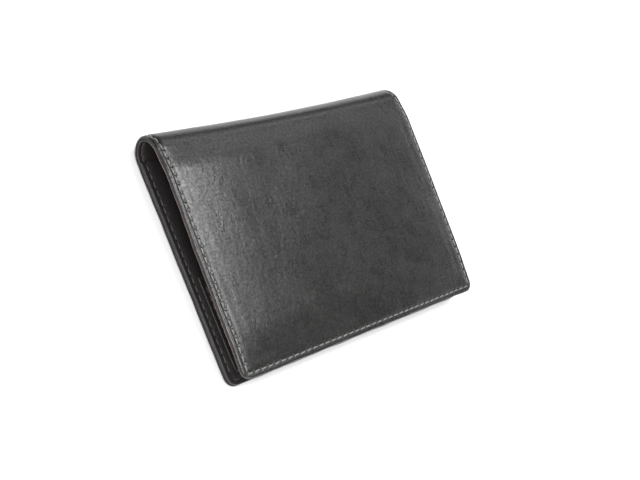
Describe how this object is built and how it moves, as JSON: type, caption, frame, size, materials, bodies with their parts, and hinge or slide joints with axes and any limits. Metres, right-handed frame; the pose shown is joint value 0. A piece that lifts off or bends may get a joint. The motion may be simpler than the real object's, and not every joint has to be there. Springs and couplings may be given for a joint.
{
  "type": "business card case",
  "caption": "Folded black leather business card case: a stitched flap over a back with a card pocket and card slots inside, open at three sides.",
  "frame": {"origin": "on the back cover's outer face, under the middle of the closed case", "axes": "+X along the fold, +Y from the free edges towards the fold, +Z out through the flap; the case lies closed on its back"},
  "size_m": [0.105, 0.0738, 0.0124],
  "materials": {
    "cover_leather": "smooth fine-grained black leather, semi-gloss",
    "lining_leather": "black leather lining, satin",
    "pocket_leather": "thin black leather, satin",
    "board": "raw fibre board, matt",
    "outer_thread": "waxed dark grey sewing thread, slight sheen",
    "inner_thread": "dark sewing thread, matt"
  },
  "bodies": {
    "back": {"back_board": "board", "back_cover": "cover_leather", "back_lining": "lining_leather", "back_seam_bobbin_thread": "inner_thread", "back_seam_needle_thread": "outer_thread", "back_slot_panel": "pocket_leather", "back_slot_thread": "inner_thread", "main_pocket_panel": "pocket_leather"},
    "fold_1": {"fold_cover_1": "cover_leather", "fold_lining_1": "lining_leather", "fold_needle_thread_left_1": "outer_thread", "fold_needle_thread_right_1": "outer_thread", "fold_bobbin_thread_left_1": "inner_thread", "fold_bobbin_thread_right_1": "inner_thread"},
    "fold_2": {"fold_cover_2": "cover_leather", "fold_lining_2": "lining_leather", "fold_needle_thread_left_2": "outer_thread", "fold_needle_thread_right_2": "outer_thread", "fold_bobbin_thread_left_2": "inner_thread", "fold_bobbin_thread_right_2": "inner_thread"},
    "fold_3": {"fold_cover_3": "cover_leather", "fold_lining_3": "lining_leather", "fold_needle_thread_left_3": "outer_thread", "fold_needle_thread_right_3": "outer_thread", "fold_bobbin_thread_left_3": "inner_thread", "fold_bobbin_thread_right_3": "inner_thread"},
    "flap": {"flap_board": "board", "flap_cover": "cover_leather", "flap_lining": "lining_leather", "flap_pocket_panel": "pocket_leather", "flap_pocket_thread": "inner_thread", "flap_seam_bobbin_thread": "inner_thread", "flap_seam_needle_thread": "outer_thread"}
  },
  "joints": [
    {"name": "fold_hinge_1", "type": "hinge", "parent": "back", "child": "fold_1", "pos_m": [0, 0.03285, 0.00108], "axis": [-1, 0, 0], "range_deg": [0, 45.64]},
    {"name": "fold_hinge_2", "type": "hinge", "parent": "fold_1", "child": "fold_2", "pos_m": [0, 0.03586, 0.00416], "axis": [-1, 0, 0], "range_deg": [0, 45.64]},
    {"name": "fold_hinge_3", "type": "hinge", "parent": "fold_2", "child": "fold_3", "pos_m": [0, 0.03577, 0.00847], "axis": [-1, 0, 0], "range_deg": [0, 45.64]},
    {"name": "fold_hinge_4", "type": "hinge", "parent": "fold_3", "child": "flap", "pos_m": [0, 0.03262, 0.01141], "axis": [-1, 0, 0], "range_deg": [0, 45.64]}
  ],
  "couplings": [
    {"joint": "fold_hinge_2", "follows": "fold_hinge_1", "ratio": 1},
    {"joint": "fold_hinge_3", "follows": "fold_hinge_1", "ratio": 1},
    {"joint": "fold_hinge_4", "follows": "fold_hinge_1", "ratio": 1}
  ]
}
